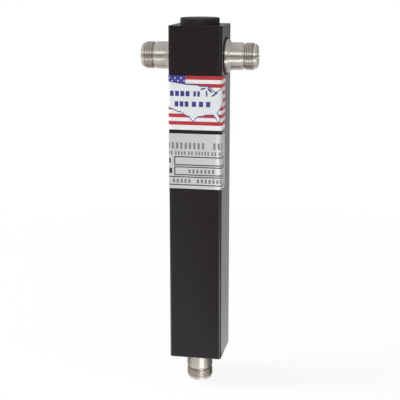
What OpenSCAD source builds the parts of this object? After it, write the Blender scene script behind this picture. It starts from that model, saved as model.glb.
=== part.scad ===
// Two-way coaxial power splitter: a square tube whose round bore is the outer conductor,
// a matching rod on the bore axis, one input jack in the lower end and two output jacks
// in the sides near the top. +Z runs up the tube, the labelled front face looks to -Y,
// and the origin is on the tube axis at the open end of the input jack.

/* [Body tube] */
// Outside width of the square tube
body_w = 31.75; // [29:0.25:38]
// Length of the tube
body_l = 203.2; // [160:0.1:400]
// Round bore of the tube, the outer conductor of the line
bore_d = 22.2; // [19:0.1:24]
// Outside corner radius of the tube
corner_r = 1.6; // [0.5:0.1:3]
// Edge break around the two cut ends of the tube
end_break = 0.4; // [0.1:0.1:0.7]
// Distance from the top of the tube down to the axis of the output jacks
output_drop = 18.3; // [17:0.1:19]

/* [Top plug] */
// Height of the plug head above the tube
plug_head_h = 4; // [2:0.1:8]
// Ledge of the plug head that rests on the end of the tube
plug_lip = 0.55; // [0.4:0.05:2]
// Edge break around the top of the plug head
plug_break = 0.5; // [0.2:0.1:1]
// Length of the plug skirt inside the bore
plug_skirt_l = 6; // [3:0.1:7]
// Wall of the hollow plug
plug_wall = 2; // [1:0.1:4]

/* [Input bushing] */
// How far the bushing runs up the bore past the shank of the input jack
bushing_cover = 1.4; // [0.5:0.1:3]

/* [Inner conductor] */
// Diameter of the inner conductor rod
rod_d = 12.3; // [11:0.1:14]
// Length of the rod above the axis of the output jacks
rod_over = 8; // [5:0.1:9]
// Edge break at the two ends of the rod
rod_break = 0.5; // [0.2:0.1:1]
// Diameter of the solder well in the top of the rod
solder_well_d = 4.5; // [3:0.1:5]

/* [Jack shell] */
// Diameter of the shank that passes through the wall
shank_d = 12.7; // [11.5:0.1:14]
// How far the shank stops short of the bore
shank_setback = 0.2; // [0.1:0.1:1]
// Diameter of the round flange
flange_d = 19.7; // [18:0.1:22]
// Thickness of the flange rim
flange_t = 1.3; // [0.8:0.1:2.5]
// Length of the cone from the flange down to the barrel
cone_l = 1.5; // [0.5:0.1:3]
// Diameter of the plain barrel
barrel_d = 16.1; // [15.9:0.1:17.5]
// Length of the plain barrel
barrel_l = 6.6; // [4:0.1:12]
// Length of the chamfer at the outer end of the barrel
shoulder_l = 1.1; // [0.5:0.1:2]
// Diameter of the relief groove behind the coupling thread
groove_d = 14.3; // [13.5:0.1:15]
// Length of the relief groove
groove_l = 0.3; // [0.2:0.1:1.5]
// Outside diameter of the coupling thread
thread_d = 15.88; // [15.2:0.02:16]
// Length of the coupling thread with its end chamfers
thread_l = 5.6; // [4:0.1:9]
// Length of the chamfer at each end of the coupling thread
thread_chamfer = 0.8; // [0.3:0.1:1]
// Diameter of the plain nose in front of the thread
nose_d = 14.5; // [13.6:0.1:15]
// Length of the plain nose
nose_l = 1; // [0.5:0.1:3]
// Diameter of the end face of the jack
tip_d = 12.8; // [11:0.1:13.5]
// Length of the chamfer that runs from the nose to the end face
tip_l = 1; // [0.5:0.1:2]
// Diameter of the mouth
mouth_d = 8.1; // [7.8:0.1:9]
// Depth of the mouth
mouth_depth = 9.2; // [7.5:0.1:11]
// Edge break around the mouth
mouth_break = 0.4; // [0.1:0.1:0.8]
// Diameter of the insulator seat behind the mouth
seat_d = 7; // [6:0.1:7.5]

/* [Jack contact] */
// Diameter of the contact
contact_d = 3.04; // [2.8:0.02:3.4]
// How far the tip of the contact lies behind the end face of the jack
contact_recess = 3.9; // [2:0.1:5]
// Diameter of the socket in the contact
socket_d = 1.65; // [1.4:0.05:2]
// Depth of the socket
socket_depth = 6; // [5:0.1:8]
// Width of the spring slots across the socket
slot_w = 0.4; // [0.2:0.05:0.6]
// Length of the spring slots
slot_l = 4.6; // [2:0.1:5]
// Diameter of the pin at the back of the contact
pin_d = 2; // [1.6:0.1:2.4]
// How far the pin reaches into the inner conductor
pin_seat = 3.5; // [2:0.1:3.8]

/* [Jack gasket] */
// Outside diameter of the gasket between the flange and the tube
gasket_d = 22.4; // [20:0.1:23]
// Thickness of the gasket
gasket_t = 0.4; // [0.2:0.1:1.5]

/* [Labels] */
// Distance from the top of the tube down to the striped label
stripe_drop = 28.7; // [28.2:0.1:32]
// Height of the striped label
stripe_h = 31.8; // [20:0.1:40]
// Gap between the two labels
label_gap = 2.3; // [0.5:0.1:10]
// Height of the rating label
rating_h = 33.1; // [20:0.1:40]
// How far each label wraps round onto the sides of the tube
label_wrap = 11; // [6:0.1:11.2]
// Corner radius at the side ends of the labels
label_r = 2; // [0.5:0.1:4]
// Thickness of the label film
label_t = 0.15; // [0.08:0.01:0.4]
// Thickness of the bond under the label film
label_bond = 0.03; // [0.01:0.01:0.1]

/* [Fits] */
// Radial clearance of every piece that sits in a hole
fit = 0.05; // [0.02:0.01:0.1]

/* [Hidden] */
$fn = 96;

// Overrun of a cutting tool past the surface that it opens
cut = 1;

// Stations along a jack, measured outward from the wall that it is screwed to
flange_z = gasket_t;
cone_z = flange_z + flange_t;
barrel_z = cone_z + cone_l;
shoulder_z = barrel_z + barrel_l;
groove_z = shoulder_z + shoulder_l;
thread_z = groove_z + groove_l;
nose_z = thread_z + thread_l;
tip_z = nose_z + nose_l;
jack_reach = tip_z + tip_l;
seat_z = jack_reach - mouth_depth;
contact_z = jack_reach - contact_recess;

// Stations up the tube axis, measured from the open end of the input jack
body_z = jack_reach;
body_top = body_z + body_l;
output_z = body_top - output_drop;
stripe_z = body_top - stripe_drop - stripe_h;
rating_z = stripe_z - label_gap - rating_h;

// The shank of a jack fills the wall at its thinnest, over the middle of the bore
shank_l = (body_w - bore_d) / 2 - shank_setback;
// Every contact reaches from its wall to the rod across the same gap
rod_gap = (body_w - rod_d) / 2;
rod_z = body_z + rod_gap;
rod_top = output_z + rod_over;

// Square outline of width w with corners of radius r
module rounded_square(w, r) {
    square([w - 2 * r, w], center = true);
    square([w, w - 2 * r], center = true);
    for (x = [-1, 1], y = [-1, 1])
        translate([x * (w / 2 - r), y * (w / 2 - r)])
            circle(r = r);
}

// Places for a jack: its own +Z points out of the wall that carries it
module at_input() {
    translate([0, 0, body_z])
        rotate([180, 0, 0])
            children();
}

module at_left() {
    translate([-body_w / 2, 0, output_z])
        rotate([0, -90, 0])
            children();
}

module at_right() {
    translate([body_w / 2, 0, output_z])
        rotate([0, 90, 0])
            children();
}

// Cutter for the edge break along the four sides of one end of the tube
module end_edge_cutter() {
    for (a = [0, 90, 180, 270])
        rotate([0, 0, a])
            translate([body_w / 2, 0, 0])
                rotate([90, 0, 0])
                    linear_extrude(height = body_w + 2 * cut, center = true)
                        polygon([[-end_break - cut, cut], [cut, cut], [cut, -end_break - cut]]);
}

// Square tube, bored through, with a cross hole for the shanks of the output jacks
module body_tube() {
    color("#1c1b1d")
        difference() {
            translate([0, 0, body_z])
                linear_extrude(height = body_l)
                    rounded_square(body_w, corner_r);
            translate([0, 0, body_z - cut])
                cylinder(d = bore_d, h = body_l + 2 * cut);
            translate([0, 0, output_z])
                rotate([0, 90, 0])
                    cylinder(d = shank_d + 2 * fit, h = body_w + 2 * cut, center = true);
            translate([0, 0, body_top])
                end_edge_cutter();
            translate([0, 0, body_z])
                mirror([0, 0, 1])
                    end_edge_cutter();
        }
}

// Hollow moulded plug: its skirt fits the bore and its head rests on the end of the tube
module top_plug() {
    skirt_r = bore_d / 2 - fit;
    head_r = bore_d / 2 + plug_lip;
    color("#2b2a2b")
        translate([0, 0, body_top])
            rotate_extrude()
                polygon([
                    [0, plug_head_h], [head_r - plug_break, plug_head_h],
                    [head_r, plug_head_h - plug_break], [head_r, 0],
                    [skirt_r, 0], [skirt_r, -plug_skirt_l],
                    [skirt_r - plug_wall, -plug_skirt_l],
                    [skirt_r - plug_wall, plug_head_h - plug_wall],
                    [0, plug_head_h - plug_wall]
                ]);
}

// Round bushing, flush in the lower end of the bore, that carries the input jack
module input_bushing() {
    color("#a8a9ab")
        translate([0, 0, body_z])
            difference() {
                cylinder(d = bore_d - 2 * fit, h = shank_l + bushing_cover);
                translate([0, 0, -cut])
                    cylinder(d = shank_d + 2 * fit, h = shank_l + bushing_cover + 2 * cut);
            }
}

// Rod on the bore axis, drilled for the pin of the input jack in its lower end and for the
// pins of the output jacks across its top, with a solder well down to the cross hole
module inner_conductor() {
    rod_l = rod_top - rod_z;
    color("#b98d45")
        translate([0, 0, rod_z])
            difference() {
                rotate_extrude()
                    polygon([
                        [0, 0], [rod_d / 2 - rod_break, 0], [rod_d / 2, rod_break],
                        [rod_d / 2, rod_l - rod_break], [rod_d / 2 - rod_break, rod_l], [0, rod_l]
                    ]);
                translate([0, 0, -cut])
                    cylinder(d = pin_d + 2 * fit, h = pin_seat + 2 * cut);
                translate([0, 0, output_z - rod_z])
                    rotate([0, 90, 0])
                        cylinder(d = pin_d + 2 * fit, h = rod_d + 2 * cut, center = true);
                translate([0, 0, output_z - rod_z])
                    cylinder(d = solder_well_d, h = rod_over + cut);
            }
}

// Sealing ring between a jack flange and the wall
module jack_gasket() {
    color("#19191a")
        difference() {
            cylinder(d = gasket_d, h = gasket_t);
            translate([0, 0, -cut])
                cylinder(d = shank_d + 2 * fit, h = gasket_t + 2 * cut);
        }
}

// Turned jack shell: shank, flange, cone, barrel, relief groove, coupling thread and nose
module jack_shell() {
    color("#b9b6b0")
        rotate_extrude()
            polygon([
                [shank_d / 2, -shank_l], [shank_d / 2, flange_z], [flange_d / 2, flange_z],
                [flange_d / 2, cone_z], [barrel_d / 2, barrel_z], [barrel_d / 2, shoulder_z],
                [groove_d / 2, groove_z], [groove_d / 2, thread_z],
                [thread_d / 2, thread_z + thread_chamfer],
                [thread_d / 2, nose_z - thread_chamfer],
                [nose_d / 2, nose_z], [nose_d / 2, tip_z], [tip_d / 2, jack_reach],
                [mouth_d / 2 + mouth_break, jack_reach], [mouth_d / 2, jack_reach - mouth_break],
                [mouth_d / 2, seat_z], [seat_d / 2, seat_z], [seat_d / 2, -shank_l]
            ]);
}

// White insulator that holds the contact on the axis of the shell
module jack_insulator() {
    color("#f0ede4")
        translate([0, 0, -shank_l])
            difference() {
                cylinder(d = seat_d - 2 * fit, h = shank_l + seat_z);
                translate([0, 0, -cut])
                    cylinder(d = contact_d + 2 * fit, h = shank_l + seat_z + 2 * cut);
            }
}

// Contact with a slotted socket in front and a pin behind that reaches into the rod
module jack_contact() {
    pin_l = rod_gap + pin_seat - shank_l;
    color("#d8b25a")
        difference() {
            union() {
                translate([0, 0, -shank_l])
                    cylinder(d = contact_d, h = shank_l + contact_z);
                translate([0, 0, -shank_l - pin_l])
                    cylinder(d = pin_d, h = pin_l + cut);
            }
            translate([0, 0, contact_z - socket_depth])
                cylinder(d = socket_d, h = socket_depth + cut);
            for (a = [0, 90])
                rotate([0, 0, a])
                    translate([-contact_d, -slot_w / 2, contact_z - slot_l])
                        cube([2 * contact_d, slot_w, slot_l + cut]);
        }
}

// Side outline of a label, in Y and Z, with its two rear corners rounded
module label_side(height) {
    rear = -body_w / 2 + label_wrap;
    translate([-body_w, 0])
        square([body_w + rear - label_r, height]);
    translate([-body_w, label_r])
        square([body_w + rear, height - 2 * label_r]);
    for (z = [label_r, height - label_r])
        translate([rear - label_r, z])
            circle(r = label_r);
}

// Film bent round the front of the tube and onto its two sides
module wrap_label(height) {
    intersection() {
        linear_extrude(height = height)
            difference() {
                rounded_square(body_w + 2 * (label_bond + label_t), corner_r + label_bond + label_t);
                rounded_square(body_w + 2 * label_bond, corner_r + label_bond);
                translate([-body_w, -body_w / 2 + label_wrap])
                    square([2 * body_w, 2 * body_w]);
            }
        rotate([90, 0, 90])
            linear_extrude(height = 2 * body_w, center = true)
                label_side(height);
    }
}

// Upper label, striped
module stripe_label() {
    color("#c4313d")
        translate([0, 0, stripe_z])
            wrap_label(stripe_h);
}

// Lower label, ruled foil
module rating_label() {
    color("#c8c9c9")
        translate([0, 0, rating_z])
            wrap_label(rating_h);
}

body_tube();
top_plug();
input_bushing();
inner_conductor();
at_input() jack_gasket();  // input_jack_gasket
at_input() jack_shell();  // input_jack_shell
at_input() jack_insulator();  // input_jack_insulator
at_input() jack_contact();  // input_jack_contact
at_left() jack_gasket();  // left_jack_gasket
at_left() jack_shell();  // left_jack_shell
at_left() jack_insulator();  // left_jack_insulator
at_left() jack_contact();  // left_jack_contact
at_right() jack_gasket();  // right_jack_gasket
at_right() jack_shell();  // right_jack_shell
at_right() jack_insulator();  // right_jack_insulator
at_right() jack_contact();  // right_jack_contact
stripe_label();
rating_label();
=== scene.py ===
import math

import bmesh
import bpy
from bpy.props import FloatProperty, FloatVectorProperty, IntProperty, PointerProperty
from mathutils import Matrix, Vector


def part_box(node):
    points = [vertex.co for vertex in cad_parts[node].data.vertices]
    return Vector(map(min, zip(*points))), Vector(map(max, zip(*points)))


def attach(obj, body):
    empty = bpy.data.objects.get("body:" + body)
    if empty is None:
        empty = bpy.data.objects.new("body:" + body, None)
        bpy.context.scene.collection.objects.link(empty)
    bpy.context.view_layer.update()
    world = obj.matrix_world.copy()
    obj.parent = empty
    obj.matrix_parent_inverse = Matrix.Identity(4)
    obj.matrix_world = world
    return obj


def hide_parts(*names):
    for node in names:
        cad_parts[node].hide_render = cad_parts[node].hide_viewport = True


bl_info = {
    "name": "Coaxial power splitter",
    "version": (1, 0, 0),
    "blender": (4, 5, 0),
    "location": "View3D > Sidebar > Splitter",
    "description": "Dresses the packed two-way coaxial power splitter and sets its stage",
    "category": "Add Mesh",
}

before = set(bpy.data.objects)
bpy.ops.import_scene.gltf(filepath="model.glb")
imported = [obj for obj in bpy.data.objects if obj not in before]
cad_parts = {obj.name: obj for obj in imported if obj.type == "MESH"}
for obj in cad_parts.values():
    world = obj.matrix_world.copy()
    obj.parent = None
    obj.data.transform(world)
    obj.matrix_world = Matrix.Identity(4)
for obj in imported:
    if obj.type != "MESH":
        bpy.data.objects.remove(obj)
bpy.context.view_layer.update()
MM = 0.001
# Room between a piece and the hole that it sits in
CLEARANCE = 0.05 * MM
# An edge that turns by more than this stays sharp
SHARP_EDGE = math.radians(35)
# Steps round a drilled hole or a small bead
HOLE_STEPS = 96

TUBE_LOW, TUBE_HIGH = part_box("body_tube")
PLUG_LOW, PLUG_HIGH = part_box("top_plug")
SHELL_LOW, SHELL_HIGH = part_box("right_jack_shell")
TUBE_HALF = TUBE_HIGH.x
JACK_NAMES = ("input", "left", "right")


def linear(code):
    """Scene-linear colour of a six-digit sRGB code."""
    channels = [int(code[k:k + 2], 16) / 255 for k in (0, 2, 4)]
    return tuple(c / 12.92 if c <= 0.04045 else ((c + 0.055) / 1.055) ** 2.4 for c in channels)


def length(name, description, size):
    """Length property; the size is in millimetres."""
    return FloatProperty(
        name=name, description=description, default=size * MM, min=0.0,
        precision=5, subtype="DISTANCE", unit="LENGTH",
    )


def share(name, description, default, high=1.0):
    """Plain number property from nought to its upper limit."""
    return FloatProperty(
        name=name, description=description, default=default, min=0.0, max=high, subtype="FACTOR",
    )


def colour(name, description, code):
    """Colour property; the code is six sRGB digits."""
    return FloatVectorProperty(
        name=name, description=description, default=linear(code), size=3,
        min=0.0, max=1.0, subtype="COLOR",
    )


class TubeSettings(bpy.types.PropertyGroup):
    """Square tube and its plug"""

    corner_radius: length("Corner radius", "Outside corner radius of the tube", 1.6)
    end_round: length("End rounding", "Rounding round the cut ends of the tube", 0.4)
    bore_radius: length("Bore radius", "Radius of the round bore", 11.1)
    cross_hole_radius: length("Cross hole radius", "Radius of the holes for the side jacks", 6.4)
    output_drop: length("Output drop", "From the top of the tube down to the side jacks", 18.3)
    plug_wall: length("Plug wall", "Wall of the hollow plug", 2.0)
    plug_round: length("Plug rounding", "Rounding round the head of the plug", 0.5)
    coat_colour: colour("Coat", "Colour of the black coat", "150d15")
    coat_roughness: share("Coat roughness", "Roughness of the black coat", 0.2)
    # Painted highlight: a lighter colour laid on the corner bends of the coat, low down, in place of a
    # reflection
    painted_highlight_colour: colour("Highlight", "Colour of the highlighted corners", "847c75")
    plug_colour: colour("Plug", "Colour of the moulded plug", "1b141b")


class JackSettings(bpy.types.PropertyGroup):
    """Turned jacks; lengths along a jack are measured outward from its wall"""

    gasket_radius: length("Gasket radius", "Outside radius of the gasket", 11.2)
    gasket_end: length("Gasket end", "Outer face of the gasket", 0.4)
    shank_radius: length("Shank radius", "Radius of the shank in the wall", 6.35)
    flange_radius: length("Flange radius", "Radius of the flange", 9.85)
    flange_end: length("Flange end", "End of the flange rim", 1.7)
    barrel_radius: length("Barrel radius", "Radius of the plain barrel", 8.05)
    barrel_start: length("Barrel start", "Start of the plain barrel", 3.2)
    barrel_end: length("Barrel end", "End of the plain barrel", 9.8)
    groove_radius: length("Groove radius", "Radius of the relief groove", 7.15)
    groove_start: length("Groove start", "Start of the relief groove", 10.9)
    thread_radius: length("Thread radius", "Outside radius of the thread", 7.94)
    thread_start: length("Thread start", "Start of the thread", 11.2)
    thread_end: length("Thread end", "End of the thread", 16.8)
    thread_chamfer: length("Thread chamfer", "Chamfer at each end of the thread", 0.8)
    thread_pitch: length("Thread pitch", "Distance from one crest to the next", 1.0583)
    thread_depth: length("Thread depth", "Depth of the thread", 0.45)
    nose_radius: length("Nose radius", "Radius of the plain nose", 7.25)
    nose_end: length("Nose end", "End of the plain nose", 17.8)
    tip_radius: length("Tip radius", "Outside radius of the end face", 6.4)
    mouth_radius: length("Mouth radius", "Radius of the mouth", 4.05)
    mouth_break: length("Mouth break", "Edge break round the mouth", 0.4)
    seat: length("Seat", "Floor of the mouth, where the insulator stands", 9.6)
    seat_radius: length("Seat radius", "Radius of the insulator seat", 3.5)
    contact_hole: length("Contact hole", "Radius of the hole in the insulator", 1.57)
    plate_colour: colour("Plate", "Colour of the nickel plate", "ede7de")
    tarnish_colour: colour("Tarnish", "Colour of the plate down in the thread", "9a8e82")
    gold_colour: colour("Gold", "Colour of the plated contacts", "e0b45c")
    insulator_colour: colour("Insulator", "Colour of the insulators", "efece4")
    gasket_colour: colour("Gasket", "Colour of the gasket rubber", "1b1b1c")
    turned_steps: IntProperty(
        name="Turned steps", description="Steps round a turned piece", default=144, min=24, max=256,
    )


class LabelSettings(bpy.types.PropertyGroup):
    """Two printed films bent round the front of the tube"""

    film_thickness: length("Film thickness", "Thickness of the film", 0.15)
    film_stand: length("Film stand", "Outer face of the film above the tube", 0.18)
    film_wrap: length("Film wrap", "How far the film runs onto the sides", 11.0)
    film_corner: length("Film corner", "Corner radius at the ends of the film", 2.0)
    stripe_pitch: length("Stripe pitch", "Distance from one red stripe to the next", 4.45)
    stripe_width: length("Stripe width", "Width of a red stripe", 2.2)
    rule_width: length("Rule width", "Width of the ruled lines on the foil", 0.65)
    white_colour: colour("White", "Colour of the bare film", "eae9ea")
    panel_colour: colour("Panel", "Colour of the white panel", "e1e4e6")
    red_colour: colour("Red", "Colour of the stripes", "b41826")
    blue_colour: colour("Blue", "Colour of the starred field", "2d2e8e")
    foil_colour: colour("Foil", "Colour of the foil", "dedddd")
    ink_colour: colour("Ink", "Colour of the ruled lines", "323232")


class StageSettings(bpy.types.PropertyGroup):
    """Camera, floor and lights"""

    azimuth: FloatProperty(
        name="Azimuth", description="Camera turn to the right of the front",
        default=math.radians(10.96), subtype="ANGLE",
    )
    elevation: FloatProperty(
        name="Elevation", description="Camera height above the horizon",
        default=math.radians(13.11), subtype="ANGLE",
    )
    distance: length("Distance", "From the camera to its target", 613.3)
    target_height: length("Target height", "Height that the camera looks at", 115.68)
    lens: FloatProperty(
        name="Lens", description="Focal length on a 36 mm sensor", default=90.0,
        subtype="DISTANCE_CAMERA", unit="CAMERA",
    )
    floor_colour: colour("Floor", "Colour of the floor", "f8f8f8")
    ambient: share("Ambient", "Level of the light from all round", 0.18, 2.0)
    surround: share("Surround", "Level overhead in reflections", 0.68, 2.0)
    horizon: share("Horizon", "Level at the horizon in reflections", 0.27, 2.0)
    front_level: share("Front light", "Brightness of the front softbox", 3.0, 20.0)
    card_level: share("Card light", "Brightness of the low card in front", 4.5, 20.0)
    key_level: share("Key light", "Brightness of the left softbox", 19.0, 60.0)
    fill_level: share("Fill light", "Brightness of the right softbox", 3.0, 20.0)


class Value:
    """A number from a socket; arithmetic and comparison on it add Math nodes."""

    def __init__(self, shader, socket):
        self.shader = shader
        self.socket = socket

    def __add__(self, other):
        return self.shader.math("ADD", self, other)

    def __radd__(self, other):
        return self.shader.math("ADD", other, self)

    def __sub__(self, other):
        return self.shader.math("SUBTRACT", self, other)

    def __rsub__(self, other):
        return self.shader.math("SUBTRACT", other, self)

    def __mul__(self, other):
        return self.shader.math("MULTIPLY", self, other)

    def __rmul__(self, other):
        return self.shader.math("MULTIPLY", other, self)

    def __truediv__(self, other):
        return self.shader.math("DIVIDE", self, other)

    def __rtruediv__(self, other):
        return self.shader.math("DIVIDE", other, self)

    def __mod__(self, other):
        return self.shader.math("FLOORED_MODULO", self, other)

    def __neg__(self):
        return self.shader.math("SUBTRACT", 0.0, self)

    def __abs__(self):
        return self.shader.math("ABSOLUTE", self)

    def __lt__(self, other):
        return self.shader.math("LESS_THAN", self, other)

    def __gt__(self, other):
        return self.shader.math("GREATER_THAN", self, other)

    def __or__(self, other):
        return self.shader.math("MAXIMUM", self, other)

    def held(self):
        """The number kept from nought to one."""
        return self.shader.math("MINIMUM", self.shader.math("MAXIMUM", self, 0.0), 1.0)


class Shader:
    """A node tree that is filled by expressions."""

    def __init__(self, tree):
        self.tree = tree
        tree.nodes.clear()

    def node(self, kind, settings=None, sockets=None):
        """A node of this type, its settings set first, then its sockets fed."""
        made = self.tree.nodes.new(kind)
        for name, setting in (settings or {}).items():
            if name == "stops":
                self.set_stops(made.color_ramp, setting)
            else:
                setattr(made, name, setting)
        for key, given in (sockets or {}).items():
            self.feed(made.inputs[key], given)
        return made

    @staticmethod
    def set_stops(ramp, stops):
        """Ramp stops from pairs of place and level."""
        while len(ramp.elements) < len(stops):
            ramp.elements.new(1.0)
        for element, (place, level) in zip(ramp.elements, stops):
            element.position = place
            element.color = (level, level, level, level)

    def feed(self, socket, given):
        """Links a socket, or sets it to a constant."""
        if isinstance(given, Value):
            self.tree.links.new(given.socket, socket)
        elif isinstance(given, bpy.types.NodeSocket):
            self.tree.links.new(given, socket)
        elif socket.type == "RGBA":
            socket.default_value = (*given[:3], 1.0)
        else:
            socket.default_value = given

    def math(self, operation, *terms):
        """A Math node on these numbers."""
        made = self.node("ShaderNodeMath", {"operation": operation}, dict(enumerate(terms)))
        return Value(self, made.outputs[0])

    def position(self):
        """Object coordinates, in metres, as a vector socket."""
        return self.node("ShaderNodeTexCoord").outputs["Object"]

    def axes(self, vector):
        """The three numbers of a vector."""
        parts = self.node("ShaderNodeSeparateXYZ", sockets={0: vector})
        return [Value(self, socket) for socket in parts.outputs]

    def stretched(self, vector, factors):
        """A vector times three factors."""
        made = self.node(
            "ShaderNodeVectorMath", {"operation": "MULTIPLY"}, {0: vector, 1: factors},
        )
        return made.outputs[0]

    def noise(self, vector, scale=1.0, detail=2.0):
        """Noise over a vector, about a half."""
        made = self.node(
            "ShaderNodeTexNoise", {}, {"Vector": vector, "Scale": scale, "Detail": detail},
        )
        return Value(self, made.outputs[0])

    def line_noise(self, number, scale, detail):
        """Noise along one number, about a half."""
        made = self.node(
            "ShaderNodeTexNoise", {"noise_dimensions": "1D"},
            {"W": number, "Scale": scale, "Detail": detail},
        )
        return Value(self, made.outputs[0])

    def blend(self, factor, first, second):
        """First colour to second colour by the factor."""
        made = self.node(
            "ShaderNodeMix", {"data_type": "RGBA"}, {0: factor, 6: first, 7: second},
        )
        return made.outputs[2]

    def bump(self, height, depth):
        """Normal of a surface raised by the height times the depth."""
        made = self.node("ShaderNodeBump", {}, {"Height": height, "Distance": depth, "Strength": 1.0})
        return made.outputs[0]

    def mixed(self, factor, first, second):
        """First surface or light to second by the factor."""
        made = self.node("ShaderNodeMixShader", {}, {0: factor, 1: first, 2: second})
        return made.outputs[0]

    def curve(self, number, stops):
        """Straight lines through pairs of place and level, all from nought to one."""
        made = self.node("ShaderNodeValToRGB", {"stops": stops}, {0: number})
        return Value(self, made.outputs["Alpha"])


def new_finish(name):
    """A node material and the shader that fills it."""
    material = bpy.data.materials.new(name)
    material.use_nodes = True
    return material, Shader(material.node_tree)


def close_finish(shader, sockets):
    """Principled surface and output of a material."""
    surface = shader.node("ShaderNodeBsdfPrincipled", {}, sockets)
    shader.node("ShaderNodeOutputMaterial", {}, {"Surface": surface.outputs[0]})


def shade(tone, factor):
    """A colour made lighter or darker."""
    return tuple(min(1.0, channel * factor) for channel in tone)


def between(number, low, high):
    """One where the number lies between two limits."""
    return (number > low) * (number < high)


def ramp(number, start, width):
    """Nought up to the start, one from the width past it, and a straight line between."""
    return ((number - start) / width).held()


def joined(masks):
    """One where any of the masks is one."""
    made, *others = masks
    for mask in others:
        made = made | mask
    return made


def black_coat(tube):
    """Thin black coat over drawn tube: faint draw lines, a fine peel and a painted highlight on the lower
    corner bends.
    """
    material, shader = new_finish("Black tube coat")
    place = shader.position()
    x, y, z = shader.axes(place)
    beside = abs(x) - (TUBE_HALF - tube.corner_radius)
    before = abs(y) - (TUBE_HALF - tube.corner_radius)
    bend = (beside > 0) * (before > 0)
    # Painted highlight: a band part way round each corner bend, lighter than the coat
    highlight_turn, highlight_half = 0.6, 0.22
    turn = shader.math("ARCTAN2", beside, before)
    corner = (1.0 - abs(turn - highlight_turn) / highlight_half).held() * bend
    # The painted highlight is full below this height and fades out above it
    highlight_full, highlight_fade = 0.065, 0.06
    lower = 1.0 - ramp(z, highlight_full, highlight_fade)
    mottle = shader.noise(place, scale=38.0, detail=3.0)
    drawn = shader.noise(shader.stretched(place, (2200.0, 2200.0, 12.0)), detail=3.0)
    peel = shader.noise(place, scale=1500.0)
    tone = shader.blend(mottle, shade(tube.coat_colour, 0.8), shade(tube.coat_colour, 1.2))
    # Painted highlight laid over the coat colour on the lower corner bends
    tone = shader.blend(corner * lower * (0.6 + 0.6 * drawn), tone, tube.painted_highlight_colour)
    rough = tube.coat_roughness - 0.07 + 0.08 * mottle + 0.06 * drawn + 0.35 * bend
    close_finish(shader, {
        "Base Color": tone,
        "Roughness": rough,
        "IOR": 1.45,
        "Normal": shader.bump(0.6 * peel + 0.4 * drawn, 0.004 * MM),
    })
    return material


def plug_plastic(tube):
    """Moulded plastic with a fine spark-eroded grain and a few scuffs."""
    material, shader = new_finish("Moulded plug plastic")
    place = shader.position()
    grain = shader.noise(place, scale=4200.0)
    cloud = shader.noise(place, scale=160.0, detail=3.0)
    scuff = shader.noise(shader.stretched(place, (260.0, 1900.0, 900.0)))
    tone = shader.blend(cloud, shade(tube.plug_colour, 0.82), shade(tube.plug_colour, 1.25))
    close_finish(shader, {
        "Base Color": tone,
        "Roughness": 0.4 + 0.2 * grain + 0.12 * (scuff > 0.62),
        "IOR": 1.5,
        "Normal": shader.bump(grain, 0.03 * MM),
    })
    return material


def gasket_rubber(jack):
    """Black rubber, dull and a little dusty."""
    material, shader = new_finish("Gasket rubber")
    place = shader.position()
    dust = shader.noise(place, scale=700.0, detail=4.0)
    fine = shader.noise(place, scale=5200.0)
    tone = shader.blend(dust, shade(jack.gasket_colour, 0.7), shade(jack.gasket_colour, 1.6))
    close_finish(shader, {
        "Base Color": tone,
        "Roughness": 0.5 + 0.2 * fine,
        "IOR": 1.5,
        "Normal": shader.bump(fine, 0.02 * MM),
    })
    return material


def nickel_plate(jack):
    """Bright nickel over turned brass: fine tool rings, a soft haze, and tarnish in the thread."""
    material, shader = new_finish("Nickel plate")
    place = shader.position()
    x, y, z = shader.axes(place)
    radius = shader.math("SQRT", x * x + y * y)
    rings = shader.line_noise(z + 0.9 * radius, scale=5200.0, detail=3.0)
    haze = shader.noise(place, scale=240.0, detail=3.0)
    in_thread = between(z, jack.thread_start, jack.thread_end)
    valley = ((jack.thread_radius - radius) / jack.thread_depth).held() * in_thread
    worn = (0.3 * in_thread + 0.5 * valley + 0.3 * (haze - 0.45)).held()
    tone = shader.blend(worn, jack.plate_colour, jack.tarnish_colour)
    close_finish(shader, {
        "Base Color": tone,
        "Metallic": 1.0,
        "Roughness": 0.37 + 0.05 * haze + 0.04 * rings + 0.04 * valley,
        "Anisotropic": 1.0,
        "Anisotropic Rotation": 0.25,
        "Normal": shader.bump(rings, 0.002 * MM),
    })
    return material


def insulator_plastic(jack):
    """Waxy white insulator."""
    material, shader = new_finish("White insulator")
    place = shader.position()
    cloud = shader.noise(place, scale=600.0, detail=3.0)
    fine = shader.noise(place, scale=6000.0)
    tone = shader.blend(cloud, shade(jack.insulator_colour, 0.93), jack.insulator_colour)
    close_finish(shader, {
        "Base Color": tone,
        "Roughness": 0.36 + 0.12 * fine,
        "IOR": 1.38,
        "Normal": shader.bump(fine, 0.006 * MM),
    })
    return material


def bare_metal(name, tone, dark, roughness, scale):
    """Bare or plated metal with a light haze."""
    material, shader = new_finish(name)
    place = shader.position()
    haze = shader.noise(place, scale=scale, detail=3.0)
    fine = shader.noise(place, scale=12.0 * scale)
    close_finish(shader, {
        "Base Color": shader.blend((haze - 0.35).held(), tone, dark),
        "Metallic": 1.0,
        "Roughness": roughness - 0.06 + 0.12 * haze,
        "Normal": shader.bump(fine, 0.003 * MM),
    })
    return material


def label_places(shader, node, label):
    """Distances over a label in millimetres: across from the middle of the front, down from its top."""
    x, y, z = shader.axes(shader.position())
    front = TUBE_HALF + label.film_stand
    across = (x + shader.math("SIGN", x) * (y + front)) / MM
    down = (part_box(node)[1].z - z) / MM
    return across, down


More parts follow.
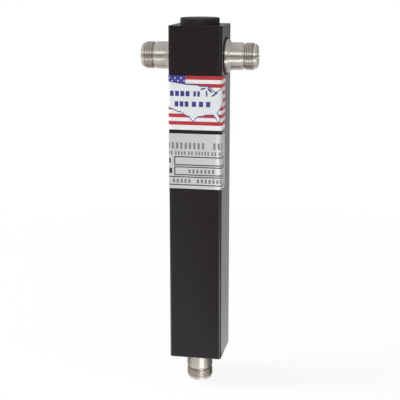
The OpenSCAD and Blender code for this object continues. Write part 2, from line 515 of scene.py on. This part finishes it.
def stars(shader, across, down):
    """Staggered rows of small five-pointed stars."""
    pitch_across, pitch_down = 3.6, 1.58
    start, margin = -2.7, 0.7
    point = 0.68
    notch = 0.4 * point
    fifth = math.pi / 5
    row = shader.math("FLOOR", (down - margin) / pitch_down)
    a = (across - start + (row % 2.0) * (pitch_across / 2)) % pitch_across - pitch_across / 2
    b = (down - margin) % pitch_down - pitch_down / 2
    turn = shader.math("ARCTAN2", a, -b)
    off = abs((turn + fifth) % (2 * fifth) - fifth)
    edge = point * notch * math.sin(fifth) / (
        point * shader.math("SINE", off) + notch * shader.math("SINE", fifth - off)
    )
    return (shader.math("SQRT", a * a + b * b) < edge) * (row > -0.5)


def bars(across, down, top, bottom, words, pitch, gap):
    """A row of plain blocks that stands for a line of print; a word is its start and its blocks."""
    blocks = joined(
        between(across, start, start + count * pitch - gap) * ((across - start) % pitch < pitch - gap)
        for start, count in words
    )
    return between(down, top, bottom) * blocks


def oval(a, b, long, wide, tilt):
    """One inside a tilted oval about nought, given by its half length and half width."""
    along = (a * math.cos(tilt) + b * math.sin(tilt)) / long
    over = (b * math.cos(tilt) - a * math.sin(tilt)) / wide
    return along * along + over * over < 1.0


def map_panel(shader, across, down):
    """One inside the plain outline that lies over the stripes."""
    width, height = 44.0, 32.0
    left, right = -22.0, 19.0
    upper = (
        (left, 6.0), (-19.0, 3.3), (-15.5, 3.7), (-8.2, 4.8), (-5.2, 5.3), (2.0, 5.6), (3.0, 6.3),
        (6.9, 6.1), (9.6, 7.4), (12.0, 9.8), (13.2, 9.2), (14.6, 8.3), (16.4, 7.0), (right, 12.0),
    )
    lower = (
        (left, 10.0), (-19.0, 16.0), (-15.5, 18.7), (-13.5, 19.2), (-9.6, 20.9), (-8.2, 20.8),
        (-5.2, 23.2), (-3.7, 23.2), (-1.7, 25.7), (-0.5, 26.5), (0.2, 24.8), (1.9, 23.5), (4.6, 23.3),
        (6.2, 22.5), (11.0, 22.3), (12.3, 23.8), (13.6, 26.0), (14.7, 26.6), (15.2, 24.6), (right, 24.6),
    )
    along = (across + width / 2) / width
    top, low = (
        shader.curve(along, [((u + width / 2) / width, v / height) for u, v in line]) * height
        for line in (upper, lower)
    )
    bay_tip, bay_middle = 13.0, 21.4
    off = across - bay_tip
    bay = (off > 0) * (down > bay_middle - 1.4 * off) * (down < bay_middle + 1.9 * off)
    return (down > top) * (down < low) * between(across, left, right) * (1.0 - bay)


def stripe_film(label):
    """Glossy film: red and white stripes, a starred blue field and a plain white panel."""
    material, shader = new_finish("Striped film")
    across, down = label_places(shader, "stripe_label", label)
    pitch = label.stripe_pitch / MM
    stripes_end, field_end, field_side = 7 * pitch - 0.1, 4 * pitch - 2.4, -5.5
    red = (down % pitch < label.stripe_width / MM) * (down < stripes_end)
    field = (across < field_side) * (down < field_end)
    star = stars(shader, across, down)
    panel = map_panel(shader, across, down)
    line = 0.6
    shifts = ((-line, 0.0), (line, 0.0), (0.0, -line), (0.0, line))
    edge = joined(map_panel(shader, across + u, down + v) for u, v in shifts) * (1.0 - panel)
    lakes = joined(oval(across - u, down - v, *form) for u, v, *form in (
        (4.9, 7.4, 1.7, 0.5, -0.3), (7.0, 10.2, 2.0, 0.5, 1.5), (9.0, 8.3, 2.0, 0.6, 0.75),
        (11.7, 10.6, 2.4, 0.5, -0.6),
    ))
    words = joined(bars(across, down, *row) for row in (
        (8.9, 12.0, ((-14.9, 4),), 3.15, 0.8),
        (8.9, 12.0, ((-0.8, 2),), 2.3, 0.8),
        (15.0, 18.1, ((-12.0, 3),), 3.0, 0.8),
        (15.0, 18.1, ((-1.8, 3),), 4.2, 1.6),
    ))
    tone = shader.blend(red, label.white_colour, label.red_colour)
    tone = shader.blend(field, tone, label.blue_colour)
    tone = shader.blend(field * star, tone, label.white_colour)
    tone = shader.blend(panel, tone, label.panel_colour)
    tone = shader.blend(edge | lakes | words, tone, shade(label.blue_colour, 0.8))
    place = shader.position()
    cloud = shader.noise(place, scale=120.0, detail=3.0)
    fine = shader.noise(place, scale=2600.0)
    dust = (0.35, 0.35, 0.36)
    close_finish(shader, {
        "Base Color": shader.blend(0.12 * cloud, tone, dust),
        "Roughness": 0.3 + 0.12 * cloud + 0.05 * (red | field),
        "IOR": 1.48,
        "Normal": shader.bump(0.5 * fine + 0.5 * cloud, 0.01 * MM),
    })
    return material


def box_line(across, down, left, right, top, bottom, half):
    """Outline of a ruled box; half is half the width of its line."""
    outer = between(across, left - half, right + half) * between(down, top - half, bottom + half)
    inner = between(across, left + half, right - half) * between(down, top + half, bottom - half)
    return outer * (1.0 - inner)


def foil_film(label):
    """Satin foil with ruled boxes and rows of plain blocks, a little dished beside its bends."""
    material, shader = new_finish("Ruled foil")
    across, down = label_places(shader, "rating_label", label)
    half = label.rule_width / MM / 2
    right = 22.6
    lines = joined(box_line(across, down, left, right, top, bottom, half) for left, top, bottom in (
        (-12.2, 13.9, 18.7), (-12.2, 20.0, 24.7), (-right, 26.0, 30.8),
    ))
    small_words = ((-16.4, 2), (-12.0, 4), (-4.0, 2), (0.3, 5), (10.0, 2), (14.3, 2))
    head = bars(across, down, 5.3, 9.1, ((-16.6, 9), (11.0, 3)), 2.6, 1.2)
    small = bars(across, down, 10.5, 12.7, small_words, 1.8, 0.8)
    side = bars(across, down, 14.8, 17.8, ((-19.6, 2),), 2.9, 0.8)
    side = side | bars(across, down, 20.8, 24.0, ((-18.9, 2),), 2.9, 0.7)
    typed = bars(across, down, 21.3, 23.6, ((-3.8, 7),), 2.35, 1.0)
    typed = typed | bars(across, down, 27.2, 29.6, ((-13.4, 5), (1.2, 7)), 2.35, 1.0)
    place = shader.position()
    brushed = shader.noise(shader.stretched(place, (90.0, 90.0, 5200.0)), detail=3.0)
    cloud = shader.noise(place, scale=90.0, detail=3.0)
    tone = shader.blend(brushed, shade(label.foil_colour, 0.9), label.foil_colour)
    tone = shader.blend(0.72 * head + 0.75 * small + side + 0.75 * typed, tone, label.ink_colour)
    tone = shader.blend(lines, tone, label.ink_colour)
    ink = (lines | head | small | side | typed).held()
    dish_start, dish_width, dish_depth = 11.6, 5.6, 0.78
    dish = ramp(abs(across), dish_start, dish_width)
    dish = dish * dish * (3.0 - 2.0 * dish)
    close_finish(shader, {
        "Base Color": tone,
        "Metallic": 0.55 - 0.45 * ink,
        "Roughness": 0.34 + 0.1 * cloud + 0.08 * brushed + 0.1 * ink,
        "Normal": shader.bump(0.004 * brushed + 0.002 * cloud - dish_depth * dish, MM),
    })
    return material


def eased(outline, steps=4):
    """Closed outline whose corners are rounded; each corner is radius, height and rounding."""
    # A rounding takes at most this share of an edge
    most = 0.45
    points = [Vector(corner[:2]) for corner in outline]
    smooth = []
    for k, (corner, (_, _, ease)) in enumerate(zip(points, outline)):
        back = points[k - 1] - corner
        ahead = points[(k + 1) % len(points)] - corner
        reach = min(ease, most * back.length, most * ahead.length)
        if reach <= 0:
            smooth.append(corner)
            continue
        start = corner + back.normalized() * reach
        end = corner + ahead.normalized() * reach
        for step in range(steps + 1):
            t = step / steps
            smooth.append(start * (1 - t) ** 2 + corner * 2 * t * (1 - t) + end * t ** 2)
    return smooth


def with_rows(outline, low, high, row):
    """The outline with its edges between two heights cut into short rows."""
    slack = 0.001 * MM
    rows = []
    for point, after in zip(outline, outline[1:] + outline[:1]):
        rows.append(point)
        if low - slack <= min(point.y, after.y) and max(point.y, after.y) <= high + slack:
            count = max(1, math.ceil(abs(after.y - point.y) / row))
            rows.extend(point.lerp(after, step / count) for step in range(1, count))
    return rows


def turned(name, outline, steps, radius_at=None):
    """Closed mesh turned about Z from a closed outline of radius and height."""
    work = bmesh.new()
    rings = []
    for point in outline:
        ring = []
        for step in range(steps):
            angle = 2 * math.pi * step / steps
            radius = radius_at(point.x, point.y, angle) if radius_at else point.x
            ring.append(work.verts.new((radius * math.cos(angle), radius * math.sin(angle), point.y)))
        rings.append(ring)
    for k, ring in enumerate(rings):
        after = rings[(k + 1) % len(rings)]
        if outline[k].x == 0 and outline[(k + 1) % len(rings)].x == 0:
            continue
        for step in range(steps):
            turn = (step + 1) % steps
            work.faces.new((ring[step], ring[turn], after[turn], after[step]))
    bmesh.ops.remove_doubles(work, verts=work.verts, dist=0.0001 * MM)
    return closed_mesh(name, work)


def closed_mesh(name, work, sharp=None):
    """Mesh of the worked faces, smooth, with edges sharper than the angle split."""
    bmesh.ops.recalc_face_normals(work, faces=work.faces)
    for face in work.faces:
        face.smooth = True
    if sharp is not None:
        for edge in work.edges:
            edge.smooth = edge.calc_face_angle(math.pi) < sharp
    mesh = bpy.data.meshes.new(name)
    work.to_mesh(mesh)
    work.free()
    return mesh


def add_piece(name, mesh, material, nodes, place=None):
    """Puts a piece on the root body in place of its CAD nodes."""
    if not mesh.polygons:
        raise RuntimeError(f"{name} has no faces")
    piece = bpy.data.objects.new(name, mesh)
    bpy.context.scene.collection.objects.link(piece)
    piece.matrix_world = place or Matrix.Identity(4)
    mesh.materials.append(material)
    piece.modifiers.new("Even normals", "WEIGHTED_NORMAL").keep_sharp = True
    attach(piece, "root")
    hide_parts(*nodes)


def dress_node(node, material, ease=0.0):
    """Gives a CAD node that stays its finish, and takes the edge off it."""
    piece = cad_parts[node]
    for holder in piece.material_slots:
        holder.material = material
    if ease > 0:
        bevel = piece.modifiers.new("Eased edges", "BEVEL")
        bevel.width = ease
        bevel.segments = 2
        bevel.angle_limit = math.radians(40)


def jack_place(jack):
    """Frame of a jack: its +Z points out of the wall that carries it."""
    if jack == "input":
        return Matrix.Translation((0, 0, TUBE_LOW.z)) @ Matrix.Rotation(math.pi, 4, "X")
    side = 1 if jack == "right" else -1
    height = TUBE_HIGH.z - bpy.context.scene.splitter_tube.output_drop
    turn = Matrix.Rotation(side * math.pi / 2, 4, "Y")
    return Matrix.Translation((side * TUBE_HALF, 0, height)) @ turn


def add_to_jacks(part, form, outline, steps, material, radius_at=None):
    """Turns a piece for each of the three jacks, in place of its CAD node."""
    for name in JACK_NAMES:
        node = f"{name}_jack_{part}"
        piece = f"{node}_{form}"
        mesh = turned(piece, outline, steps, radius_at)
        add_piece(piece, mesh, material, [node], jack_place(name))


def square_ring(half, radius, flat_steps=16, corner_steps=12):
    """Points round a square with rounded corners."""
    flat = half - radius
    points = []
    for quarter in range(4):
        spin = Matrix.Rotation(quarter * math.pi / 2, 2)
        for step in range(corner_steps + 1):
            angle = step / corner_steps * math.pi / 2
            aim = Vector((math.cos(angle), math.sin(angle)))
            points.append(spin @ (Vector((flat, flat)) + radius * aim))
        for step in range(1, flat_steps):
            points.append(spin @ Vector((flat * (1 - 2 * step / flat_steps), half)))
    return points


def bored_tube(tube, round_steps=5):
    """Square tube with rounded corners and ends and a round bore."""
    ease = tube.end_round
    rows = []
    for step in range(round_steps + 1):
        angle = step / round_steps * math.pi / 2
        rows.append((ease * (1 - math.sin(angle)), TUBE_LOW.z + ease * (1 - math.cos(angle))))
    rows += [(inset, TUBE_LOW.z + TUBE_HIGH.z - height) for inset, height in reversed(rows)]
    outlines = [
        (square_ring(TUBE_HALF - inset, tube.corner_radius - inset), height) for inset, height in rows
    ]
    bore = [p.normalized() * tube.bore_radius for p in square_ring(TUBE_HALF, tube.corner_radius)]
    outlines += [(bore, TUBE_HIGH.z), (bore, TUBE_LOW.z)]
    work = bmesh.new()
    rings = [[work.verts.new((p.x, p.y, height)) for p in points] for points, height in outlines]
    count = len(bore)
    for ring, after in zip(rings, rings[1:] + rings[:1]):
        for k in range(count):
            turn = (k + 1) % count
            work.faces.new((ring[k], ring[turn], after[turn], after[k]))
    return closed_mesh("body_tube_blank", work)


def cross_drilled(mesh, tube):
    """The tube with the holes for the side jacks cut through it."""
    drill = bmesh.new()
    bmesh.ops.create_cone(
        drill, cap_ends=True, segments=HOLE_STEPS, radius1=tube.cross_hole_radius,
        radius2=tube.cross_hole_radius, depth=4 * TUBE_HALF,
    )
    blank = bpy.data.objects.new("body_tube_blank", mesh)
    cutter = bpy.data.objects.new("cross_drill", closed_mesh("cross_drill", drill))
    height = TUBE_HIGH.z - tube.output_drop
    cutter.matrix_world = Matrix.Translation((0, 0, height)) @ Matrix.Rotation(math.pi / 2, 4, "Y")
    for tool in (blank, cutter):
        bpy.context.scene.collection.objects.link(tool)
    cut = blank.modifiers.new("Cross holes", "BOOLEAN")
    cut.operation = "DIFFERENCE"
    cut.solver = "EXACT"
    cut.object = cutter
    bpy.context.view_layer.update()
    graph = bpy.context.evaluated_depsgraph_get()
    work = bmesh.new()
    work.from_mesh(bpy.data.meshes.new_from_object(blank.evaluated_get(graph)))
    bmesh.ops.remove_doubles(work, verts=work.verts, dist=0.001 * MM)
    bmesh.ops.triangulate(work, faces=work.faces, ngon_method="BEAUTY")
    for tool in (blank, cutter):
        bpy.data.objects.remove(tool)
    return closed_mesh("body_tube_coated", work, SHARP_EDGE)


def shell_outline(jack):
    """Outline of a turned jack shell, with fine rows along its thread."""
    back = SHELL_LOW.x - TUBE_HALF
    reach = SHELL_HIGH.x - TUBE_HALF
    chamfer = jack.thread_chamfer
    outline = eased([
        (jack.shank_radius, back, 0.1 * MM),
        (jack.shank_radius, jack.gasket_end, 0),
        (jack.flange_radius, jack.gasket_end, 0.15 * MM),
        (jack.flange_radius, jack.flange_end, 0.3 * MM),
        (jack.barrel_radius, jack.barrel_start, 0.5 * MM),
        (jack.barrel_radius, jack.barrel_end, 0.25 * MM),
        (jack.groove_radius, jack.groove_start, 0.12 * MM),
        (jack.groove_radius, jack.thread_start, 0),
        (jack.thread_radius, jack.thread_start + chamfer, 0),
        (jack.thread_radius, jack.thread_end - chamfer, 0),
        (jack.nose_radius, jack.thread_end, 0),
        (jack.nose_radius, jack.nose_end, 0.2 * MM),
        (jack.tip_radius, reach, 0.2 * MM),
        (jack.mouth_radius + jack.mouth_break, reach, 0.12 * MM),
        (jack.mouth_radius, reach - jack.mouth_break, 0.12 * MM),
        (jack.mouth_radius, jack.seat, 0.05 * MM),
        (jack.seat_radius, jack.seat, 0.05 * MM),
        (jack.seat_radius, back, 0.05 * MM),
    ])
    rows_per_pitch = 16
    return with_rows(outline, jack.thread_start, jack.thread_end, jack.thread_pitch / rows_per_pitch)


def thread_cut(jack):
    """Radius of the shell at a height and angle, with the helix cut into its thread."""
    pitch, depth, crest = jack.thread_pitch, jack.thread_depth, jack.thread_radius
    start, end = jack.thread_start, jack.thread_end
    # Share of the pitch that the groove takes
    groove = 0.5

    def radius_at(radius, height, angle):
        if not start < height < end:
            return radius
        phase = (height / pitch - angle / (2 * math.pi)) % 1.0
        lift = min(1.0, abs(2 * phase - 1) / groove)
        lift = lift * lift * (3 - 2 * lift)
        return min(radius, crest - depth * (1 - lift))

    return radius_at


def bent_film(name, node, label, end_steps=8, bend_steps=12):
    """Film bent round the front corners of the tube, its ends rounded."""
    low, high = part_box(node)
    half = TUBE_HALF + label.film_stand
    radius = bpy.context.scene.splitter_tube.corner_radius + label.film_stand
    rear = -TUBE_HALF + label.film_wrap
    round_end = label.film_corner
    path = []
    for step in range(end_steps + 1):
        off = round_end * (1 - math.cos(step / end_steps * math.pi / 2))
        drop = round_end * (1 - math.sqrt(max(0.0, 1 - (1 - off / round_end) ** 2)))
        path.append((Vector((half, rear - off)), Vector((1, 0)), drop))
    for step in range(bend_steps + 1):
        angle = -step / bend_steps * math.pi / 2
        aim = Vector((math.cos(angle), math.sin(angle)))
        middle = Vector((half - radius, radius - half))
        path.append((middle + aim * radius, aim, 0.0))
    mirrored = [(Vector((-p.x, p.y)), Vector((-n.x, n.y)), drop) for p, n, drop in reversed(path)]
    work = bmesh.new()
    columns = []
    for point, aim, drop in path + mirrored:
        inner = point - aim * label.film_thickness
        bottom, top = low.z + drop, high.z - drop
        corners = ((point, bottom), (point, top), (inner, top), (inner, bottom))
        columns.append([work.verts.new((p.x, p.y, z)) for p, z in corners])
    for column, after in zip(columns, columns[1:]):
        for k in range(4):
            turn = (k + 1) % 4
            work.faces.new((column[k], column[turn], after[turn], after[k]))
    work.faces.new(columns[0])
    work.faces.new(columns[-1][::-1])
    return closed_mesh(name, work, SHARP_EDGE)


class MakeTube(bpy.types.Operator):
    """Builds the black square tube"""

    bl_idname = "splitter.tube"
    bl_label = "Body tube"

    def execute(self, context):
        tube = context.scene.splitter_tube
        mesh = cross_drilled(bored_tube(tube), tube)
        add_piece("body_tube_coated", mesh, black_coat(tube), ["body_tube"])
        return {"FINISHED"}


class MakePlug(bpy.types.Operator):
    """Builds the moulded plug in the top of the tube"""

    bl_idname = "splitter.plug"
    bl_label = "Top plug"

    def execute(self, context):
        tube = context.scene.splitter_tube
        head = PLUG_HIGH.z - TUBE_HIGH.z
        skirt = tube.bore_radius - CLEARANCE
        gate, sink = 1.1 * MM, 0.25 * MM
        inner = skirt - tube.plug_wall
        outline = eased([
            (0, head - sink, 0),
            (gate, head - sink, 0.1 * MM),
            (gate + sink, head, 0.15 * MM),
            (PLUG_HIGH.x, head, 1.6 * tube.plug_round),
            (PLUG_HIGH.x, 0, 0.1 * MM),
            (skirt, 0, 0),
            (skirt, PLUG_LOW.z - TUBE_HIGH.z, 0.3 * MM),
            (inner, PLUG_LOW.z - TUBE_HIGH.z, 0.3 * MM),
            (inner, head - tube.plug_wall, 0.5 * MM),
            (0, head - tube.plug_wall, 0),
        ])
        mesh = turned("top_plug_moulded", outline, context.scene.splitter_jack.turned_steps)
        place = Matrix.Translation((0, 0, TUBE_HIGH.z))
        add_piece("top_plug_moulded", mesh, plug_plastic(tube), ["top_plug"], place)
        return {"FINISHED"}


class MakeGaskets(bpy.types.Operator):
    """Builds the sealing rings under the three jacks"""

    bl_idname = "splitter.gaskets"
    bl_label = "Jack gaskets"

    def execute(self, context):
        jack = context.scene.splitter_jack
        bore = jack.shank_radius + CLEARANCE
        outline = eased([
            (bore, 0, 0),
            (jack.gasket_radius, 0, 0.1 * MM),
            (jack.gasket_radius, jack.gasket_end, 0.35 * MM),
            (bore, jack.gasket_end, 0),
        ])
        add_to_jacks("gasket", "ring", outline, jack.turned_steps, gasket_rubber(jack))
        return {"FINISHED"}


class MakeShells(bpy.types.Operator):
    """Builds the three turned jack shells with their cut threads"""

    bl_idname = "splitter.shells"
    bl_label = "Jack shells"

    def execute(self, context):
        jack = context.scene.splitter_jack
        add_to_jacks(
            "shell", "turned", shell_outline(jack), jack.turned_steps,
            nickel_plate(jack), thread_cut(jack),
        )
        return {"FINISHED"}


class MakeInsulators(bpy.types.Operator):
    """Builds the white insulators in the mouths of the jacks"""

    bl_idname = "splitter.insulators"
    bl_label = "Jack insulators"

    def execute(self, context):
        jack = context.scene.splitter_jack
        back = SHELL_LOW.x - TUBE_HALF
        rim = jack.seat_radius - CLEARANCE
        outline = eased([
            (jack.contact_hole, back, 0.1 * MM),
            (rim, back, 0.1 * MM),
            (rim, jack.seat, 0.2 * MM),
            (jack.contact_hole, jack.seat, 0.12 * MM),
        ])
        add_to_jacks("insulator", "bead", outline, HOLE_STEPS, insulator_plastic(jack))
        return {"FINISHED"}


class DressMetal(bpy.types.Operator):
    """Gives the contacts, the rod and the bushing their finishes"""

    bl_idname = "splitter.metal"
    bl_label = "Contacts, rod and bushing"

    def execute(self, context):
        jack = context.scene.splitter_jack
        gold = bare_metal("Gold plate", jack.gold_colour, shade(jack.gold_colour, 0.75), 0.22, 500.0)
        brass = bare_metal("Drawn brass", linear("c9a25e"), linear("96763f"), 0.34, 120.0)
        grey = bare_metal("Bare aluminium", linear("c9cacb"), linear("9c9d9f"), 0.38, 200.0)
        for name in JACK_NAMES:
            dress_node(f"{name}_jack_contact", gold, 0.05 * MM)
        dress_node("inner_conductor", brass)
        dress_node("input_bushing", grey)
        return {"FINISHED"}


class MakeLabels(bpy.types.Operator):
    """Builds the two films bent round the front of the tube"""

    bl_idname = "splitter.labels"
    bl_label = "Labels"

    def execute(self, context):
        label = context.scene.splitter_label
        striped = bent_film("stripe_label_film", "stripe_label", label)
        add_piece("stripe_label_film", striped, stripe_film(label), ["stripe_label"])
        ruled = bent_film("rating_label_foil", "rating_label", label)
        add_piece("rating_label_foil", ruled, foil_film(label), ["rating_label"])
        return {"FINISHED"}


def soft_light(name, place, aim, width, height, level, mirrored):
    """Softbox of an even brightness, aimed at a point; metal mirrors it or not."""
    lamp = bpy.data.lights.new(name, "AREA")
    lamp.shape = "RECTANGLE"
    lamp.size = width
    lamp.size_y = height
    lamp.energy = level * math.pi * width * height
    box = bpy.data.objects.new(name, lamp)
    bpy.context.scene.collection.objects.link(box)
    box.location = place
    box.rotation_euler = (Vector(aim) - Vector(place)).to_track_quat("-Z", "Y").to_euler()
    box.visible_camera = False
    box.visible_glossy = mirrored


def ray_kinds(shader):
    """Whether a ray comes from the camera, and whether from a mirror or through glass."""
    path = shader.node("ShaderNodeLightPath")
    camera, glossy, through = (
        Value(shader, path.outputs[name])
        for name in ("Is Camera Ray", "Is Glossy Ray", "Is Transmission Ray")
    )
    return camera, glossy | through


def mirrored_floor(shader, x, y, away):
    """Level of the floor in mirrors: a painted pool of light near the tube, grey far off, and painted
    shadows of the tube.
    """
    reach = 3.0
    # Painted pool of light: in mirrors the floor is brightest near the tube
    levels = (
        (0.0, 1.0), (0.05, 0.97), (0.08, 0.81), (0.16, 0.71),
        (0.3, 0.65), (0.6, 0.56), (1.2, 0.52), (reach, 0.5),
    )
    level = shader.curve(away / reach, [(place / reach, tone) for place, tone in levels])
    # Painted shadow: dark oval from side to side, a little behind the tube, with a gap at its foot
    behind = 0.6 * (y - 0.012)
    under = 1.0 - ramp(shader.math("SQRT", 0.03 * x * x + behind * behind), 0.012, 0.01)
    under = under * ramp(abs(x), 0.014, 0.01)
    # Painted shadow: dark wedge that opens to the right and behind, and fades with the distance
    wedge = ramp(y + 0.3 * x, 0.0, 0.006) * ((x - 0.6 * y) / (0.006 + 0.2 * away)).held()
    wedge = wedge * (1.0 - away / 0.2).held()
    # Painted light and shade: lighter ground ahead of the tube, with a painted dark lane slanting across
    # it
    ahead = ramp(-y, 0.07, 0.05) * ramp(y, -0.9, 0.3)
    lane = ramp(x - 0.24 * y, 0.009, 0.03) * (1.0 - ramp(x - 0.2 * y, 0.05, 0.02))
    return level * (1.0 - 0.92 * under) * (1.0 - 0.95 * wedge) * (1.0 + ahead * (0.2 - 0.7 * lane))


def pale_floor(stage):
    """Floor that keeps the shadow, near white to the camera, and glows in mirrors with painted light and
    painted shadows of its own.
    """
    material, shader = new_finish("Pale floor")
    camera, mirror = ray_kinds(shader)
    lit = shader.node("ShaderNodeBsdfDiffuse", {}, {"Color": stage.floor_colour}).outputs[0]
    dark = shader.node("ShaderNodeBsdfDiffuse", {}, {"Color": (0, 0, 0)}).outputs[0]
    white = shader.node("ShaderNodeEmission", {}, {"Color": (1, 1, 1), "Strength": 1.0}).outputs[0]
    x, y, _ = shader.axes(shader.position())
    away = shader.math("SQRT", x * x + y * y)
    near_white, white_from = 0.87, 0.5
    whiteness = near_white + (1.0 - near_white) * (away / white_from).held()
    seen = shader.mixed(whiteness * camera, lit, white)
    level = mirrored_floor(shader, x, y, away)
    # In mirrors the floor glows white by the painted level of light and shade
    surface = shader.mixed(mirror, seen, shader.mixed(level, dark, white))
    shader.node("ShaderNodeOutputMaterial", {}, {"Surface": surface})
    return material


def studio_world(stage):
    """White to the camera, an even light, and in mirrors dim low down and dark behind on the right."""
    world = bpy.data.worlds.new("Soft studio")
    world.use_nodes = True
    shader = Shader(world.node_tree)
    camera, mirror = ray_kinds(shader)
    white, even, low, high, dark = (
        shader.node("ShaderNodeBackground", {}, {"Color": (1, 1, 1), "Strength": level}).outputs[0]
        for level in (1.0, stage.ambient, stage.horizon, stage.surround, 0.0)
    )
    right, back, up = shader.axes(shader.node("ShaderNodeTexCoord").outputs["Generated"])
    corner = ramp(right, 0.15, 0.5) * ramp(back, 0.05, 0.5) * (1.3 - 1.3 * up).held()
    lit = ((1.5 * up) | (-0.9 * right - 0.1)).held()
    around = shader.mixed(0.9 * corner, shader.mixed(lit, low, high), dark)
    light = shader.mixed(camera, shader.mixed(mirror, even, around), white)
    shader.node("ShaderNodeOutputWorld", {}, {"Surface": light})
    return world


def add_floor(scene, stage, half=3.0):
    """Wide flat floor that isn't part of the object."""
    work = bmesh.new()
    bmesh.ops.create_grid(work, x_segments=8, y_segments=8, size=half)
    floor = bpy.data.objects.new("floor", closed_mesh("floor", work))
    floor.data.materials.append(pale_floor(stage))
    scene.collection.objects.link(floor)


def add_camera(scene, stage):
    """Camera on its ray from the target on the axis of the tube."""
    target = Vector((0, 0, stage.target_height))
    flat = math.cos(stage.elevation)
    back = Vector((
        math.sin(stage.azimuth) * flat, -math.cos(stage.azimuth) * flat, math.sin(stage.elevation),
    ))
    lens = bpy.data.cameras.new("Camera")
    lens.sensor_width = 36.0
    lens.lens = stage.lens
    lens.clip_start = 0.01
    camera = bpy.data.objects.new("Camera", lens)
    scene.collection.objects.link(camera)
    camera.location = target + back * stage.distance
    camera.rotation_euler = (-back).to_track_quat("-Z", "Y").to_euler()
    scene.camera = camera


class SetStage(bpy.types.Operator):
    """Sets the floor, the soft lights, the white surround and the camera"""

    bl_idname = "splitter.stage"
    bl_label = "Stage"

    def execute(self, context):
        scene = context.scene
        stage = scene.splitter_stage
        scene.view_settings.view_transform = "Standard"
        scene.world = studio_world(stage)
        add_floor(scene, stage)
        middle, foot = (0, 0, 0.11), (0, 0, 0.03)
        soft_light("Front softbox", (0.34, -1.1, 0.72), middle, 0.8, 0.4, stage.front_level, True)
        soft_light("Low card", (0.113, -0.211, 0.045), foot, 0.16, 0.07, stage.card_level, True)
        soft_light("Left softbox", (-0.85, -0.18, 0.95), middle, 0.5, 0.5, stage.key_level, False)
        soft_light("Right softbox", (0.95, -0.35, 0.8), middle, 0.5, 0.5, stage.fill_level, False)
        add_camera(scene, stage)
        return {"FINISHED"}


STEPS = (MakeTube, MakePlug, MakeGaskets, MakeShells, MakeInsulators, DressMetal, MakeLabels, SetStage)
SETTINGS = {
    "splitter_tube": TubeSettings,
    "splitter_jack": JackSettings,
    "splitter_label": LabelSettings,
    "splitter_stage": StageSettings,
}


class SplitterPanel(bpy.types.Panel):
    """Lists the pieces of the splitter in the sidebar"""

    bl_idname = "VIEW3D_PT_splitter"
    bl_label = "Power splitter"
    bl_space_type = "VIEW_3D"
    bl_region_type = "UI"
    bl_category = "Splitter"

    def draw(self, context):
        for step in STEPS:
            self.layout.operator(step.bl_idname)
        for name in SETTINGS:
            group = getattr(context.scene, name)
            box = self.layout.box()
            for field in group.__annotations__:
                box.prop(group, field)


CLASSES = (*SETTINGS.values(), *STEPS, SplitterPanel)


def register():
    """Registers the classes and puts the settings on the scene."""
    for kind in CLASSES:
        bpy.utils.register_class(kind)
    for name, group in SETTINGS.items():
        setattr(bpy.types.Scene, name, PointerProperty(type=group))


def unregister():
    """Takes the settings and the classes away again."""
    for name in SETTINGS:
        delattr(bpy.types.Scene, name)
    for kind in reversed(CLASSES):
        bpy.utils.unregister_class(kind)


def main():
    """Registers the classes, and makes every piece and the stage."""
    register()
    bpy.ops.splitter.tube()
    bpy.ops.splitter.plug()
    bpy.ops.splitter.gaskets()
    bpy.ops.splitter.shells()
    bpy.ops.splitter.insulators()
    bpy.ops.splitter.metal()
    bpy.ops.splitter.labels()
    bpy.ops.splitter.stage()
    bpy.context.view_layer.update()


if __name__ == "__main__":
    main()
